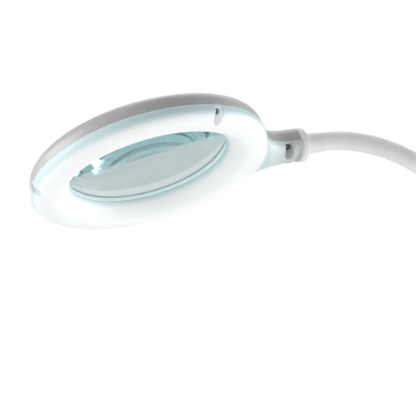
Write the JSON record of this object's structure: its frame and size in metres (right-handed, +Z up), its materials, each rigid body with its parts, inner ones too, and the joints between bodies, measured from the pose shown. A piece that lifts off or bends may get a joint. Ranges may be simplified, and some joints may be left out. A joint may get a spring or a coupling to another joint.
{
  "type": "magnifying lamp",
  "caption": "Magnifying lamp: round lit lens head with a hinged lens cover on a flexible sleeved arm, over a weighted rounded base with a power inlet.",
  "frame": {"origin": "centre of the base on the surface it stands on", "axes": "+Z up; the arm stands at +X and the head hangs out towards -X; the object is symmetric about the XZ plane"},
  "size_m": [0.3529, 0.16, 0.4302],
  "materials": {
    "frosted_cover": "frosted translucent moulding, lit from inside",
    "housing": "opaque white, fine moulded satin",
    "lens_glass": "polished clear glass, faint blue-green at the edge",
    "inset_glass": "polished clear glass",
    "gasket": "soft pale seal",
    "retainer": "white, moulded",
    "circuit_board": "white solder mask",
    "led": "moulded emitter",
    "black_plastic": "moulded",
    "lead_cover": "extruded insulation",
    "screw_steel": "pan-head screws",
    "pin_steel": "drawn pin",
    "nut_steel": "zinc plated",
    "core_steel": "oiled spiral steel",
    "socket_steel": "white powder coat",
    "collar": "white, moulded",
    "ferrule": "white lacquer on turned metal",
    "sleeve": "smooth white sleeve",
    "cover_plastic": "white, moulded",
    "button_plastic": "pale grey",
    "base_plastic": "white, fine moulded satin",
    "bottom_plastic": "dark grey",
    "foot_rubber": "moulded",
    "cast_weight": "as cast, painted black",
    "contact_brass": "plated contact"
  },
  "bodies": {
    "base": {"base_cover": "base_plastic", "bottom_plate": "bottom_plastic", "rubber_feet": "foot_rubber", "base_screws": "screw_steel", "base_weight": "cast_weight", "arm_socket": "socket_steel", "socket_nut": "nut_steel", "lower_ferrule": "ferrule", "power_jack": "black_plastic", "jack_pin": "contact_brass", "supply_lead": "lead_cover", "arm_core_base": "core_steel", "arm_sleeve_base": "sleeve"},
    "arm_link_1": {"arm_core_1": "core_steel", "arm_sleeve_1": "sleeve"},
    "arm_link_2": {"arm_core_2": "core_steel", "arm_sleeve_2": "sleeve"},
    "arm_link_3": {"arm_core_3": "core_steel", "arm_sleeve_3": "sleeve"},
    "arm_link_4": {"arm_core_4": "core_steel", "arm_sleeve_4": "sleeve"},
    "arm_link_5": {"arm_core_5": "core_steel", "arm_sleeve_5": "sleeve"},
    "arm_link_6": {"arm_core_6": "core_steel", "arm_sleeve_6": "sleeve"},
    "arm_link_7": {"arm_core_7": "core_steel", "arm_sleeve_7": "sleeve"},
    "head": {"diffuser_cover": "frosted_cover", "upper_housing": "housing", "lens": "lens_glass", "inset_lens": "inset_glass", "lens_gasket": "gasket", "lens_retainer": "retainer", "led_board": "circuit_board", "leds": "led", "driver_board": "circuit_board", "switch_body": "black_plastic", "led_leads": "lead_cover", "ring_screws": "screw_steel", "neck_screws": "screw_steel", "hinge_pin": "pin_steel", "neck_collar": "collar", "upper_ferrule": "ferrule", "ferrule_nut": "nut_steel", "arm_core_head": "core_steel", "arm_sleeve_head": "sleeve"},
    "cover": {"lens_cover": "cover_plastic"},
    "button": {"power_button": "button_plastic"}
  },
  "joints": [
    {"name": "stem_pitch_1", "type": "hinge", "parent": "base", "child": "arm_link_1", "pos_m": [0.06, 0, 0.08225], "axis": [0, 1, 0], "range_deg": [-15, 15]},
    {"name": "stem_side_1", "type": "hinge", "parent": "arm_link_1", "child": "arm_link_2", "pos_m": [0.06, 0, 0.15275], "axis": [-1, 0, 0], "range_deg": [-15, 15]},
    {"name": "stem_pitch_2", "type": "hinge", "parent": "arm_link_2", "child": "arm_link_3", "pos_m": [0.06, 0, 0.22325], "axis": [0, 1, 0], "range_deg": [-15, 15]},
    {"name": "stem_side_2", "type": "hinge", "parent": "arm_link_3", "child": "arm_link_4", "pos_m": [0.06, 0, 0.29375], "axis": [-1, 0, 0], "range_deg": [-15, 15]},
    {"name": "arch_pitch_1", "type": "hinge", "parent": "arm_link_4", "child": "arm_link_5", "pos_m": [0.05747, 0, 0.35077], "axis": [0, 1, 0], "range_deg": [-20, 20]},
    {"name": "arch_side_1", "type": "hinge", "parent": "arm_link_5", "child": "arm_link_6", "pos_m": [0.03804, 0, 0.38975], "axis": [-0.7688, 0, -0.6394], "range_deg": [-20, 20]},
    {"name": "arch_pitch_2", "type": "hinge", "parent": "arm_link_6", "child": "arm_link_7", "pos_m": [0.00326, 0, 0.41595], "axis": [0, 1, 0], "range_deg": [-20, 20]},
    {"name": "arch_side_2", "type": "hinge", "parent": "arm_link_7", "child": "head", "pos_m": [-0.03956, 0, 0.42389], "axis": [0.048, 0, -0.9988], "range_deg": [-20, 20]},
    {"name": "cover_hinge", "type": "hinge", "parent": "head", "child": "cover", "pos_m": [-0.1229, 0, 0.41692], "axis": [0, 1, 0], "range_deg": [0, 110]},
    {"name": "button_press", "type": "slide", "parent": "head", "child": "button", "axis": [0.2756, 0, -0.9613], "range_m": [0, 0.0006], "stiffness_N_per_m": 900, "springref_m": -0.0006}
  ],
  "couplings": [
    {"joint": "stem_pitch_2", "follows": "stem_pitch_1", "ratio": 1},
    {"joint": "stem_side_2", "follows": "stem_side_1", "ratio": 1},
    {"joint": "arch_pitch_2", "follows": "arch_pitch_1", "ratio": 1},
    {"joint": "arch_side_2", "follows": "arch_side_1", "ratio": 1}
  ]
}
